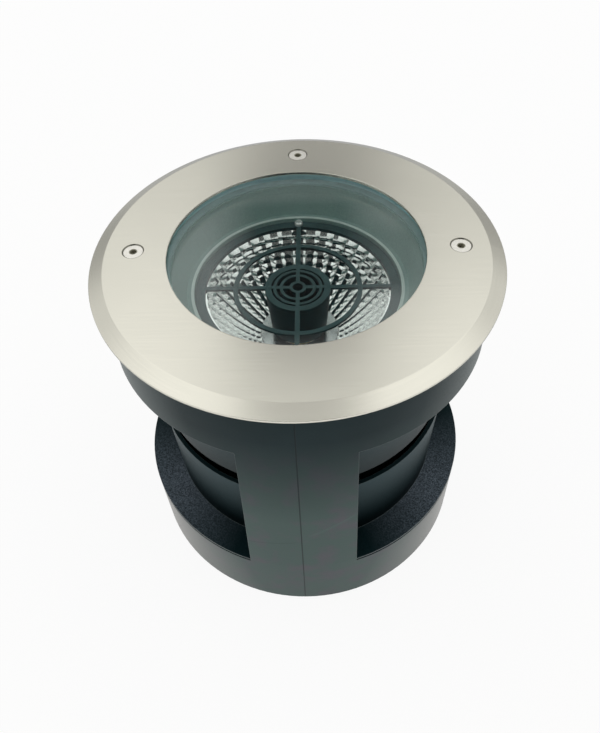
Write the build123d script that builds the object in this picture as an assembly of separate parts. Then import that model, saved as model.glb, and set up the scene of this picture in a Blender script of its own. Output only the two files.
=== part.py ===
from build123d import *
import os
from math import cos, radians, sin

# Recessed ground light in millimetres: a glazed lamp that hangs by its steel trim ring in a buried sleeve.
# The origin is the centre of the sleeve's foot, +Z is up and the front post stands on the -Y side.

# Running and seating clearances
fit_gap = 0.3
screw_gap = 0.3
slip = 0.1

# Lens opening, glass and the rubber channel around its edge
opening_radius = 62.6
glass_overlap = 4.0
glass_thickness = 10.0
glass_bevel = 0.8
gasket_wall = 1.2
gasket_top_lip = 0.8
gasket_bottom_lip = 1.2
gasket_reveal = 0.6

# Steel trim ring
trim_chamfer_width = 7.1
trim_chamfer_drop = 3.4
trim_edge = 1.0
trim_lip = 1.5
trim_overhang = 4.6
trim_screw_angles = (0, 90, 180)

# Countersunk socket screws of the trim ring
trim_screw_radius = 2.5
trim_screw_head_radius = 4.8
trim_screw_head_drop = 0.45
trim_screw_length = 17.0
trim_socket_width = 3.0
trim_socket_depth = 2.0

# Lamp housing, a casting with a finned outer skirt
flange_thickness = 7.0
flange_overhang = 10.4
drum_land = 11.7
drum_wall = 4.0
neck_step = 8.0
neck_wall = 4.0
inner_wall = 4.3
led_floor = 8.0
trim_boss_wall = 2.8
trim_boss_depth = 16.0
cooling_fin_count = 18
cooling_fin_thickness = 2.5

# Inside of the lens chamber
seat_reveal = 1.1
cone_height = 14.8
ledge_width = 3.6
ledge_drop = 2.2
reflector_seat = 3.6

# Faceted reflector
reflector_rim_radius = 46.6
reflector_neck_radius = 21.0
reflector_depth = 30.6
reflector_wall = 0.8
reflector_flange = 1.2
facet_count = 36
facet_rows = 6

# Glare shield: flange, cross, rings and the tube over the light source
shield_reveal = 0.8
shield_flange_width = 4.9
shield_flange = 1.2
spoke_width = 2.4
mid_ring_radius = 31.8
mid_ring_width = 2.4
tube_radius = 16.9
tube_foot_radius = 14.8
tube_wall = 1.4
tube_depth = 26.4
target_rim_width = 3.3
target_ring_radii = (3.5, 8.5, 11.9)
target_ring_width = 1.6
target_spoke_width = 2.0
target_thickness = 2.2

# Pan-head screws of the glare shield
shield_screw_angles = (90, 270)
shield_screw_radius = 1.25
shield_screw_head_radius = 2.35
shield_screw_head_height = 1.8
shield_screw_length = 10.0
shield_boss_wall = 1.0

# Light source
led_board_width = 24.0
led_board_thickness = 1.5
emitter_radius = 9.0
emitter_thickness = 0.8
pad_thickness = 0.5
holder_rim = 2.4
holder_window_radius = 11.0
holder_height = 4.5
holder_screw_angles = (90, 270)
holder_screw_radius = 1.5
holder_screw_head_radius = 2.6
holder_screw_head_height = 1.6
holder_screw_length = 10.0
holder_screw_setback = 5.6
holder_socket_reach = 4.0
holder_socket_width = 14.0
holder_socket_height = 3.0

# Power supply and wiring
driver_length = 64.0
driver_width = 40.0
driver_height = 28.0
driver_setback = 4.0
driver_corner = 3.0
driver_ear_length = 14.0
driver_ear_reach = 9.0
driver_ear_thickness = 2.5
driver_screw_radius = 1.5
driver_screw_head_radius = 2.8
driver_screw_head_height = 2.0
driver_screw_length = 8.0
lead_radius = 1.0
lead_spacing = 5.0
lead_reach = 10.0
lead_bend = 5.0
lead_drop = 16.0
lead_hole_wall = 2.2
terminal_length = 20.0
terminal_width = 30.0
terminal_height = 16.5
terminal_ways = 3
terminal_way_radius = 2.2
terminal_way_depth = 9.0
terminal_offset = 33.0

# Rear cover, its seal and screws
rear_cover_thickness = 5.5
rear_gasket_thickness = 1.5
rear_gasket_width = 13.0
rear_gap = 4.7
rear_screw_count = 4
rear_screw_angle = 45
rear_screw_radius = 2.0
rear_screw_head_radius = 3.6
rear_screw_head_height = 2.6
rear_screw_length = 15.0
rear_boss_wall = 2.6
rear_boss_inset = 3.4

# Cable gland in the rear cover, sized from its cable outwards
gland_cable_radius = 4.2
gland_throat_gap = 1.0
gland_thread_wall = 4.8
gland_hex_wall = 2.0
gland_hex_height = 5.0
gland_washer_thickness = 1.5
gland_washer_width = 3.0
gland_locknut_height = 5.0
gland_thread_run = 1.0
gland_spigot_step = 0.6
gland_spigot_wall = 1.5
gland_spigot_length = 8.0
gland_nut_height = 15.0
gland_nut_end = 2.0
gland_nut_dome = 4.0

# Buried sleeve
sleeve_gap = 1.9
sleeve_wall = 3.2
sleeve_flare = 1.3
skirt_height = 43.8
window_height = 108.7
collar_height = 34.3
post_count = 3
post_start_angle = -90
post_angle_top = 33.5
post_angle_foot = 36.0
shelf_thickness = 3.0
drain_radius = 45.0
sill_lip = 1.1
sill_groove_height = 1.5
sill_groove_depth = 1.0
cup_height = 52.6
cup_gap = 7.1
cup_wall = 2.2
cup_draft = 1.3
rim_gap = 8.6
gusset_count = 12
gusset_reach = 14.0
gusset_depth = 20.0
gusset_thickness = 2.4

# Radii, worked out from the lens opening outwards
glass_radius = opening_radius + glass_overlap
gasket_bore = glass_radius + slip
gasket_radius = gasket_bore + gasket_wall
pocket_radius = gasket_radius + fit_gap
trim_recess_radius = pocket_radius + fit_gap
drum_radius = pocket_radius + drum_land
drum_bore = drum_radius - drum_wall
flange_radius = drum_radius + flange_overhang
sleeve_bore = flange_radius + sleeve_gap
sleeve_radius = sleeve_bore + sleeve_wall
sleeve_foot_radius = sleeve_radius + sleeve_flare
sleeve_foot_bore = sleeve_foot_radius - sleeve_wall
trim_radius = sleeve_radius + trim_overhang
trim_screw_circle = (pocket_radius + flange_radius) / 2
neck_radius = drum_radius - neck_step
neck_bore = neck_radius - neck_wall
cup_bore = neck_radius + cup_gap
cup_radius = cup_bore + cup_wall
seat_bore = opening_radius - seat_reveal

# Radii of the lens chamber, from the reflector outwards
shield_bore = reflector_rim_radius + shield_reveal
shield_radius = shield_bore + shield_flange_width
shield_recess = shield_radius + fit_gap
ledge_radius = shield_recess + ledge_width
chamber_radius = shield_recess - reflector_seat
chamber_outer = shield_recess + inner_wall
cone_outer = max(seat_bore, ledge_radius) + inner_wall
shield_screw_circle = (shield_bore + shield_radius) / 2 + fit_gap
holder_radius = reflector_neck_radius + holder_rim
holder_screw_circle = holder_radius - holder_screw_setback
rear_screw_circle = neck_bore - rear_boss_inset
driver_middle = -driver_setback

# Radii of the gland, from the cable outwards
gland_throat_radius = gland_cable_radius + gland_throat_gap
gland_thread_radius = gland_throat_radius + gland_thread_wall
gland_spigot_radius = gland_thread_radius - gland_spigot_step
gland_bush_radius = gland_spigot_radius - gland_spigot_wall - slip
gland_hex_width = 2 * (gland_thread_radius + gland_hex_wall)

# Heights of the sleeve, from its foot up
shelf_top = skirt_height
collar_foot = skirt_height + window_height
sleeve_top = collar_foot + collar_height
cup_top = shelf_top + cup_height

# Heights of the lamp, from the sleeve's top edge, which carries the trim ring
trim_thickness = trim_edge + trim_chamfer_drop
trim_top = sleeve_top + trim_thickness
glass_top = trim_top - trim_lip - gasket_top_lip
glass_bottom = glass_top - glass_thickness
seat_top = glass_bottom - gasket_bottom_lip
void_top = seat_top - inner_wall
ledge_top = seat_top - cone_height
shield_top = ledge_top - ledge_drop
reflector_top = shield_top - shield_flange
reflector_shelf = reflector_top - reflector_flange
holder_top = reflector_shelf - (reflector_depth - reflector_flange)
floor_top = holder_top - holder_height
floor_bottom = floor_top - led_floor
drum_foot = cup_top + rim_gap
rear_cover_bottom = shelf_top + rear_gap
rear_cover_top = rear_cover_bottom + rear_cover_thickness
neck_foot = rear_cover_top + rear_gasket_thickness


def turned(*corners):
    """Solid of revolution about the vertical axis from (radius, height) corners."""
    outline = Polyline(*[(radius, 0, height) for radius, height in corners], close=True)
    return revolve(make_face(outline), Axis.Z)


def ring(outer, inner, bottom, top):
    """Flat ring between two radii and two heights."""
    return turned((inner, bottom), (outer, bottom), (outer, top), (inner, top))


def peg(radius, bottom, top, x=0, y=0):
    """Upright round bar."""
    bar = Cylinder(radius, top - bottom, align=(Align.CENTER, Align.CENTER, Align.MIN))
    return Pos(x, y, bottom) * bar


def hex_bar(width, bottom, top):
    """Upright hexagonal bar, measured across its flats."""
    return Pos(0, 0, bottom) * extrude(RegularPolygon(width / 2, 6, major_radius=False), top - bottom)


def block(x_range, y_range, z_range):
    """Box between pairs of limits."""
    size = [high - low for low, high in (x_range, y_range, z_range)]
    low_corner = Pos(x_range[0], y_range[0], z_range[0])
    return low_corner * Box(*size, align=(Align.MIN, Align.MIN, Align.MIN))


def on_circle(shape, radius, angles):
    """Copies of a shape, carried out to a radius and turned to each angle."""
    return [Rot(0, 0, angle) * Pos(radius, 0, 0) * shape for angle in angles]


def even_angles(count, turn=0):
    """Angles of a full, even pattern."""
    return [turn + 360 * step / count for step in range(count)]


def pan_screw(shank_radius, head_radius, head_height, length, seat, slot_width):
    """Pan-head screw that points down from its seat, with a cross recess."""
    head = peg(head_radius, seat, seat + head_height)
    head = fillet(head.edges().group_by(Axis.Z)[-1], head_height * 0.6)
    recess_depth = head_height / 2
    recess_reach = head_radius / 2
    half_slot = slot_width / 2
    top = seat + head_height
    for turn in (0, 90):
        arm = block((-recess_reach, recess_reach), (-half_slot, half_slot), (top - recess_depth, top))
        head -= Rot(0, 0, turn) * arm
    return head + peg(shank_radius, seat - length, seat)


def lead(corners):
    """Round wire along straight runs joined by arcs."""
    path = FilletPolyline(*corners, radius=lead_bend)
    section = Plane(origin=path @ 0, z_dir=path % 0) * Circle(lead_radius)
    return sweep(section, path=path)


# Mounting sleeve: collar, posts, skirt, shelf and inner cup in one moulding


def sector(radius, half_angle, height):
    """Pie-shaped face about the X axis, with a flat outer edge."""
    corners = [(0, 0, height)]
    for side in (-1, 1):
        angle = radians(side * half_angle)
        corners.append((radius * cos(angle), radius * sin(angle), height))
    return make_face(Polyline(*corners, close=True))


def window_angles():
    """Middle of each window, halfway between two posts."""
    return even_angles(post_count, post_start_angle + 180 / post_count)


def sleeve_windows():
    """Wedges that open the wall between the posts; the posts widen towards their feet."""
    pitch = 360 / post_count
    reach = 2 * sleeve_foot_radius
    foot = sector(reach, (pitch - post_angle_foot) / 2, shelf_top)
    head = sector(reach, (pitch - post_angle_top) / 2, collar_foot)
    wedge = loft([foot, head], ruled=True)
    return [Rot(0, 0, angle) * wedge for angle in window_angles()]


def sill_grooves():
    """Shadow groove below the lip of each window's sill."""
    top = shelf_top - sill_lip
    bottom = top - sill_groove_height
    band = ring(sleeve_foot_radius + sill_groove_depth, sleeve_foot_radius - sill_groove_depth, bottom, top)
    half_angle = (360 / post_count - post_angle_foot) / 2
    wedge = extrude(sector(2 * sleeve_foot_radius, half_angle, bottom), top - bottom)
    return [band & (Rot(0, 0, angle) * wedge) for angle in window_angles()]


def gussets():
    """Triangular ribs that stiffen the shelf from below."""
    underside = shelf_top - shelf_thickness
    outer = sleeve_foot_bore + fit_gap
    tip = (outer - gusset_reach, 0, underside)
    outline = Polyline(tip, (outer, 0, underside), (outer, 0, underside - gusset_depth), close=True)
    plate = extrude(make_face(outline), gusset_thickness / 2, both=True)
    return [Rot(0, 0, angle) * plate for angle in even_angles(gusset_count, post_start_angle)]


def mounting_sleeve():
    """Open-sided tube with a straight skirt, a shelf at the sills and a cup that rises from the shelf."""
    wall = turned(
        (sleeve_foot_bore, 0),
        (sleeve_foot_radius, 0),
        (sleeve_foot_radius, shelf_top),
        (sleeve_radius, sleeve_top),
        (sleeve_bore, sleeve_top),
        (sleeve_foot_bore, shelf_top),
    )
    wall -= sleeve_windows()
    wall -= sill_grooves()
    inside = turned(
        (drain_radius, shelf_top - shelf_thickness),
        (sleeve_foot_bore + fit_gap, shelf_top - shelf_thickness),
        (sleeve_foot_bore + fit_gap, shelf_top),
        (cup_radius - cup_draft, shelf_top),
        (cup_radius, cup_top),
        (cup_bore, cup_top),
        (cup_bore - cup_draft, shelf_top),
        (drain_radius, shelf_top),
    )
    return wall + inside + gussets()


# Trim ring and its screws


def trim_screw_seat():
    """Height at which the countersink narrows to the shank."""
    return trim_top - trim_screw_head_drop - (trim_screw_head_radius - trim_screw_radius)


def trim_ring():
    """Turned steel ring with a chamfered outer edge and a thin lip over the glass."""
    body = turned(
        (opening_radius, trim_top - trim_lip),
        (opening_radius, trim_top),
        (trim_radius - trim_chamfer_width, trim_top),
        (trim_radius, trim_top - trim_chamfer_drop),
        (trim_radius, sleeve_top),
        (trim_recess_radius, sleeve_top),
        (trim_recess_radius, trim_top - trim_lip),
    )
    rise = trim_screw_head_drop
    mouth = trim_screw_head_radius + rise
    sink = turned(
        (0, sleeve_top),
        (trim_screw_radius + slip, sleeve_top),
        (trim_screw_radius + slip, trim_screw_seat() + slip),
        (mouth, trim_top),
        (0, trim_top),
    )
    return body - on_circle(sink, trim_screw_circle, trim_screw_angles)


def trim_screws():
    """Countersunk screws with a hexagon socket."""
    head_top = trim_top - trim_screw_head_drop
    screw = turned(
        (0, trim_top - trim_screw_length),
        (trim_screw_radius, trim_top - trim_screw_length),
        (trim_screw_radius, trim_screw_seat()),
        (trim_screw_head_radius, head_top),
        (0, head_top),
    )
    screw -= hex_bar(trim_socket_width, head_top - trim_socket_depth, head_top)
    return Compound(children=on_circle(screw, trim_screw_circle, trim_screw_angles))


# Glass and its channel gasket


def cover_glass():
    """Thick toughened disc with bevelled edges."""
    inner = glass_radius - glass_bevel
    return turned(
        (0, glass_bottom),
        (inner, glass_bottom),
        (glass_radius, glass_bottom + glass_bevel),
        (glass_radius, glass_top - glass_bevel),
        (inner, glass_top),
        (0, glass_top),
    )


def glass_gasket():
    """Rubber channel that wraps the edge of the glass."""
    return turned(
        (seat_bore + gasket_reveal, seat_top),
        (gasket_radius, seat_top),
        (gasket_radius, glass_top + gasket_top_lip),
        (opening_radius + gasket_reveal, glass_top + gasket_top_lip),
        (opening_radius + gasket_reveal, glass_top),
        (gasket_bore, glass_top),
        (gasket_bore, glass_bottom),
        (seat_bore + gasket_reveal, glass_bottom),
    )


# Lamp housing


def housing_body():
    """Turned shape of the casting: flange, outer skirt, lens chamber, light floor and rear neck."""
    return turned(
        (0, floor_bottom),
        (neck_bore, floor_bottom),
        (neck_bore, neck_foot),
        (neck_radius, neck_foot),
        (neck_radius, floor_top),
        (chamber_outer, floor_top),
        (chamber_outer, ledge_top - inner_wall),
        (cone_outer, void_top),
        (drum_bore, void_top),
        (drum_bore, drum_foot),
        (drum_radius, drum_foot),
        (drum_radius, sleeve_top - flange_thickness),
        (flange_radius, sleeve_top - flange_thickness),
        (flange_radius, sleeve_top),
        (pocket_radius, sleeve_top),
        (pocket_radius, seat_top),
        (seat_bore, seat_top),
        (ledge_radius, ledge_top),
        (shield_recess, ledge_top),
        (shield_recess, reflector_shelf),
        (chamber_radius, reflector_shelf),
        (chamber_radius, floor_top),
        (0, floor_top),
    )


def cooling_fins():
    """Upright webs that fill the void between the lens chamber and the outer skirt."""
    outline = Polyline(
        (chamber_outer - slip, 0, floor_top),
        (drum_bore + slip, 0, floor_top),
        (drum_bore + slip, 0, void_top + slip),
        (cone_outer, 0, void_top + slip),
        (chamber_outer - slip, 0, ledge_top - inner_wall),
        close=True,
    )
    fin = extrude(make_face(outline), cooling_fin_thickness / 2, both=True)
    return [Rot(0, 0, angle) * fin for angle in even_angles(cooling_fin_count)]


def lamp_housing():
    """Casting with bosses and tapped holes for the trim ring, glare shield, light source and rear cover."""
    body = housing_body() + cooling_fins()
    trim_boss_foot = sleeve_top - trim_boss_depth
    trim_boss = peg(trim_screw_radius + trim_boss_wall, trim_boss_foot, sleeve_top - flange_thickness + slip)
    trim_hole = peg(trim_screw_radius + screw_gap, trim_boss_foot + slip, sleeve_top)
    shield_boss_foot = reflector_top - shield_screw_length
    shield_boss = peg(shield_screw_radius + shield_boss_wall, shield_boss_foot, reflector_shelf)
    shield_hole = peg(shield_screw_radius + slip, shield_boss_foot + slip, reflector_shelf)
    rear_boss_top = neck_foot + rear_screw_length
    rear_boss = peg(rear_screw_radius + rear_boss_wall, neck_foot, rear_boss_top)
    rear_hole = peg(rear_screw_radius + slip, neck_foot, rear_boss_top - slip)
    holder_hole = peg(holder_screw_radius + slip, holder_top - holder_screw_length - slip, floor_top)
    rear_angles = even_angles(rear_screw_count, rear_screw_angle)
    body += on_circle(trim_boss, trim_screw_circle, trim_screw_angles)
    body += on_circle(shield_boss, shield_screw_circle, shield_screw_angles)
    body += on_circle(rear_boss, rear_screw_circle, rear_angles)
    body -= on_circle(trim_hole, trim_screw_circle, trim_screw_angles)
    body -= on_circle(shield_hole, shield_screw_circle, shield_screw_angles)
    body -= on_circle(rear_hole, rear_screw_circle, rear_angles)
    body -= on_circle(holder_hole, holder_screw_circle, holder_screw_angles)
    body -= driver_screw_holes()
    return body - lead_hole()


# Reflector


def facet_profile(level):
    """Radius and height of the mirror at a facet row; rows past the ends continue the curve."""
    radius = reflector_neck_radius + (reflector_rim_radius - reflector_neck_radius) * level / facet_rows
    share = (radius**2 - reflector_neck_radius**2) / (reflector_rim_radius**2 - reflector_neck_radius**2)
    return radius, holder_top + reflector_depth * share


def facet_bowl(wall, levels):
    """Solid bowl of flat facets, ruled through one polygon for each row."""
    rings = []
    for level in levels:
        radius, height = facet_profile(level)
        polygon = RegularPolygon(radius + wall, facet_count, rotation=180 / facet_count)
        rings.append(Pos(0, 0, height) * polygon)
    return loft(rings, ruled=True)


def reflector():
    """Thin faceted bowl that hangs by its flange."""
    outside = facet_bowl(reflector_wall, range(facet_rows + 1))
    inside = facet_bowl(0, range(-1, facet_rows + 2))
    flange = ring(shield_radius, reflector_rim_radius - reflector_wall, reflector_shelf, reflector_top)
    shell = outside + flange - inside
    hole = peg(shield_screw_radius + slip, reflector_shelf, reflector_top)
    return shell - on_circle(hole, shield_screw_circle, shield_screw_angles)


# Glare shield and its screws


def shield_cross():
    """Four flat spokes from the tube to the flange."""
    reach = (tube_radius - tube_wall, shield_bore + slip)
    half = spoke_width / 2
    spoke = block(reach, (-half, half), (reflector_top, shield_top))
    return [Rot(0, 0, angle) * spoke for angle in even_angles(4)]


def shield_target():
    """Concentric rings and a small cross that close the top of the tube."""
    foot = shield_top - target_thickness
    rings = ring(tube_radius, tube_radius - target_rim_width, foot, shield_top)
    for radius in target_ring_radii:
        half_width = target_ring_width / 2
        rings += ring(radius + half_width, radius - half_width, foot, shield_top)
    half = target_spoke_width / 2
    reach = tube_radius - target_rim_width + slip
    arm = block((target_ring_radii[0], reach), (-half, half), (foot, shield_top))
    return rings + [Rot(0, 0, angle) * arm for angle in even_angles(4)]


def glare_shield():
    """Flange, middle ring, cross, target and tapered tube in one black moulding."""
    flange = ring(shield_radius, shield_bore, reflector_top, shield_top)
    half_width = mid_ring_width / 2
    middle = ring(mid_ring_radius + half_width, mid_ring_radius - half_width, reflector_top, shield_top)
    tube = turned(
        (tube_foot_radius - tube_wall, shield_top - tube_depth),
        (tube_foot_radius, shield_top - tube_depth),
        (tube_radius, shield_top),
        (tube_radius - tube_wall, shield_top),
    )
    shield = flange + middle + tube + shield_cross() + shield_target()
    hole = peg(shield_screw_radius + slip, reflector_top, shield_top)
    return shield - on_circle(hole, shield_screw_circle, shield_screw_angles)


def shield_screws():
    """Small pan-head screws through the shield and the reflector's flange."""
    screw = pan_screw(
        shield_screw_radius,
        shield_screw_head_radius,
        shield_screw_head_height,
        shield_screw_length + shield_flange - slip,
        shield_top,
        shield_screw_radius / 2,
    )
    return Compound(children=on_circle(screw, shield_screw_circle, shield_screw_angles))


# Light source


def thermal_pad():
    """Soft pad between the light board and the housing floor."""
    half = led_board_width / 2
    return block((-half, half), (-half, half), (floor_top, floor_top + pad_thickness))


def led_board():
    """Square metal-core board."""
    half = led_board_width / 2
    bottom = floor_top + pad_thickness
    return block((-half, half), (-half, half), (bottom, bottom + led_board_thickness))


def led_emitter():
    """Round phosphor face on the board."""
    bottom = floor_top + pad_thickness + led_board_thickness
    return peg(emitter_radius, bottom, bottom + emitter_thickness)


def led_holder():
    """Round plastic clamp over the board, with a socket for the two leads."""
    body = peg(holder_radius, floor_top, holder_top)
    half_socket = holder_socket_width / 2
    socket_end = holder_radius + holder_socket_reach
    socket_top = floor_top + holder_socket_height
    body += block((0, socket_end), (-half_socket, half_socket), (floor_top, socket_top))
    half_board = led_board_width / 2 + slip
    board_top = floor_top + pad_thickness + led_board_thickness
    body -= block((-half_board, half_board), (-half_board, half_board), (floor_top, board_top))
    body -= peg(holder_window_radius, board_top, holder_top)
    hole = peg(holder_screw_radius + slip, floor_top, holder_top)
    return body - on_circle(hole, holder_screw_circle, holder_screw_angles)


def holder_screws():
    """Screws that clamp the holder to the housing floor."""
    screw = pan_screw(
        holder_screw_radius,
        holder_screw_head_radius,
        holder_screw_head_height,
        holder_screw_length,
        holder_top,
        holder_screw_radius / 2,
    )
    return Compound(children=on_circle(screw, holder_screw_circle, holder_screw_angles))


# Power supply and wiring


def driver_ends():
    """Near and far end of the power supply along X."""
    return driver_middle - driver_length / 2, driver_middle + driver_length / 2


def driver_screw_points():
    """Middle of each mounting ear."""
    offset = driver_width / 2 + driver_ear_reach / 2
    return [(driver_middle, side * offset) for side in (-1, 1)]


def driver_screw_holes():
    """Tapped holes under the housing floor."""
    top = floor_bottom - driver_ear_thickness + driver_screw_length + slip
    return [peg(driver_screw_radius + slip, floor_bottom, top, x, y) for x, y in driver_screw_points()]


def led_driver():
    """Potted power supply with two ears, fixed under the light floor."""
    half_width = driver_width / 2
    case = block(driver_ends(), (-half_width, half_width), (floor_bottom - driver_height, floor_bottom))
    case = fillet(case.edges().filter_by(Axis.Z), driver_corner)
    half_ear = driver_ear_length / 2
    ear_x = (driver_middle - half_ear, driver_middle + half_ear)
    ear_reach = half_width + driver_ear_reach
    case += block(ear_x, (-ear_reach, ear_reach), (floor_bottom - driver_ear_thickness, floor_bottom))
    bottom = floor_bottom - driver_ear_thickness
    holes = [peg(driver_screw_radius + slip, bottom, floor_bottom, x, y) for x, y in driver_screw_points()]
    return case - holes


def driver_screws():
    """Screws up through the ears of the power supply."""
    seat = floor_bottom - driver_ear_thickness
    screw = Rot(180, 0, 0) * pan_screw(
        driver_screw_radius,
        driver_screw_head_radius,
        driver_screw_head_height,
        driver_screw_length,
        0,
        driver_screw_radius / 2,
    )
    return Compound(children=[Pos(x, y, seat) * screw for x, y in driver_screw_points()])


def lead_sides():
    """Sideways place of the two wires of a pair."""
    return (-lead_spacing / 2, lead_spacing / 2)


def lead_riser():
    """Distance from the axis at which the lamp's leads climb through the floor."""
    return max(driver_ends()[1], holder_radius + holder_socket_reach) + lead_reach


def lead_hole():
    """Slot in the light floor for the two leads."""
    radius = lead_radius + lead_hole_wall
    side = lead_spacing / 2
    x = lead_riser()
    slot = block((x - radius, x + radius), (-side, side), (floor_bottom, floor_top))
    return slot + [peg(radius, floor_bottom, floor_top, x, y) for y in lead_sides()]


def led_leads():
    """Pair of wires from the power supply up to the light source."""
    start = driver_ends()[1]
    x = lead_riser()
    low = floor_bottom - lead_drop
    high = floor_top + holder_socket_height / 2
    end = holder_radius + holder_socket_reach
    wires = [lead([(start, y, low), (x, y, low), (x, y, high), (end, y, high)]) for y in lead_sides()]
    return Compound(children=wires)


def terminal_face():
    """Outer face of the terminal block."""
    return -terminal_offset - terminal_length / 2


def terminal_block():
    """Screw terminal block on the rear cover, with a row of wire entries on each side."""
    half = terminal_width / 2
    far = terminal_face()
    top = rear_cover_top + terminal_height
    body = block((far, far + terminal_length), (-half, half), (rear_cover_top, top))
    middle = rear_cover_top + terminal_height / 2
    pitch = terminal_width / terminal_ways
    for way in range(terminal_ways):
        y = pitch * way + pitch / 2 - half
        body -= peg(terminal_way_radius, top - terminal_way_depth / 2, top, far + terminal_length / 2, y)
        entry = Cylinder(terminal_way_radius, terminal_way_depth, rotation=(0, 90, 0))
        body -= Pos(far + terminal_length - terminal_way_depth / 2, y, middle) * entry
    return body


def supply_leads():
    """Pair of wires from the terminal block up to the power supply."""
    start = driver_ends()[0]
    end = terminal_face()
    x = min(start, end) - lead_reach
    high = floor_bottom - lead_drop
    low = rear_cover_top + terminal_height / 2
    wires = [lead([(start, y, high), (x, y, high), (x, y, low), (end, y, low)]) for y in lead_sides()]
    return Compound(children=wires)


# Rear cover, seal and screws


def rear_angles():
    """Angles of the rear cover's screws."""
    return even_angles(rear_screw_count, rear_screw_angle)


def rear_gasket():
    """Flat seal between the neck and the rear cover."""
    flat = ring(neck_radius, neck_radius - rear_gasket_width, rear_cover_top, neck_foot)
    hole = peg(rear_screw_radius + slip, rear_cover_top, neck_foot)
    return flat - on_circle(hole, rear_screw_circle, rear_angles())


def rear_screw_seat():
    """Height of the face under the rear screws' heads."""
    return rear_cover_bottom + rear_screw_head_height


def rear_cover():
    """Round plate with sunk screw heads and the gland's hole."""
    plate = peg(neck_radius, rear_cover_bottom, rear_cover_top)
    plate -= peg(gland_thread_radius + slip, rear_cover_bottom, rear_cover_top)
    hole = peg(rear_screw_radius + slip, rear_cover_bottom, rear_cover_top)
    hole += peg(rear_screw_head_radius + fit_gap, rear_cover_bottom, rear_screw_seat())
    return plate - on_circle(hole, rear_screw_circle, rear_angles())


def rear_screws():
    """Screws up through the rear cover and its seal into the neck's bosses."""
    seat = rear_screw_seat()
    grip = neck_foot - seat
    screw = Pos(0, 0, seat) * Rot(180, 0, 0) * pan_screw(
        rear_screw_radius,
        rear_screw_head_radius,
        rear_screw_head_height,
        grip + rear_screw_length - 2 * slip,
        0,
        rear_screw_radius / 2,
    )
    return Compound(children=on_circle(screw, rear_screw_circle, rear_angles()))


# Cable gland


def gland_hex_top():
    """Height of the gland's shoulder, under its sealing washer."""
    return rear_cover_bottom - gland_washer_thickness


def gland_hex_bottom():
    """Height of the hexagon's lower face, where the clamping nut starts."""
    return gland_hex_top() - gland_hex_height


def gland_washer():
    """Rubber washer between the gland's shoulder and the rear cover."""
    outer = gland_thread_radius + gland_washer_width
    return ring(outer, gland_thread_radius + slip, gland_hex_top(), rear_cover_bottom)


def gland_body():
    """Shank through the cover, hexagon and spigot around the rubber bush."""
    thread_top = rear_cover_top + gland_locknut_height + gland_thread_run
    spigot_foot = gland_hex_bottom() - gland_spigot_length
    body = hex_bar(gland_hex_width, gland_hex_bottom(), gland_hex_top())
    body += peg(gland_thread_radius, gland_hex_top(), thread_top)
    body += peg(gland_spigot_radius, spigot_foot, gland_hex_bottom())
    body -= peg(gland_throat_radius, spigot_foot, thread_top)
    return body - peg(gland_bush_radius + slip, spigot_foot, gland_hex_bottom())


def gland_locknut():
    """Nut that holds the gland from inside the cover."""
    nut = hex_bar(gland_hex_width, rear_cover_top, rear_cover_top + gland_locknut_height)
    return nut - peg(gland_thread_radius + slip, rear_cover_top, rear_cover_top + gland_locknut_height)


def gland_nut_foot():
    """Lowest face of the clamping nut."""
    return gland_hex_bottom() - gland_nut_height


def gland_bush():
    """Rubber bush that grips the cable."""
    bottom = gland_nut_foot() + gland_nut_end
    return ring(gland_bush_radius, gland_cable_radius, bottom, gland_hex_bottom())


def gland_nut():
    """Domed clamping nut over the spigot and the bush."""
    foot = gland_nut_foot()
    nut = hex_bar(gland_hex_width, foot, gland_hex_bottom())
    slope = turned(
        (gland_spigot_radius + gland_nut_end, foot),
        (gland_hex_width, foot),
        (gland_hex_width, foot + gland_nut_dome * gland_hex_width / gland_nut_height),
    )
    nut -= slope
    nut -= peg(gland_spigot_radius + slip, foot + gland_nut_end, gland_hex_bottom())
    return nut - peg(gland_throat_radius, foot, foot + gland_nut_end)


PIECES = {
    "mounting_sleeve": mounting_sleeve,
    "trim_ring": trim_ring,
    "trim_screws": trim_screws,
    "cover_glass": cover_glass,
    "glass_gasket": glass_gasket,
    "lamp_housing": lamp_housing,
    "reflector": reflector,
    "glare_shield": glare_shield,
    "shield_screws": shield_screws,
    "thermal_pad": thermal_pad,
    "led_board": led_board,
    "led_emitter": led_emitter,
    "led_holder": led_holder,
    "holder_screws": holder_screws,
    "led_driver": led_driver,
    "driver_screws": driver_screws,
    "led_leads": led_leads,
    "supply_leads": supply_leads,
    "terminal_block": terminal_block,
    "rear_gasket": rear_gasket,
    "rear_cover": rear_cover,
    "rear_screws": rear_screws,
    "gland_washer": gland_washer,
    "gland_body": gland_body,
    "gland_locknut": gland_locknut,
    "gland_bush": gland_bush,
    "gland_nut": gland_nut,
}

os.makedirs("parts", exist_ok=True)
for node, make in PIECES.items():
    export_step(make(), f"parts/{node}.step")
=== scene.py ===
"""Looks of a recessed ground light: finishes of its solids, its mirror facets and the studio."""

import logging
import math
from dataclasses import dataclass
from enum import Enum
from typing import Dict, List, Optional, Sequence, Tuple, Union

import bmesh
import bpy
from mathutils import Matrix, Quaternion, Vector


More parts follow.
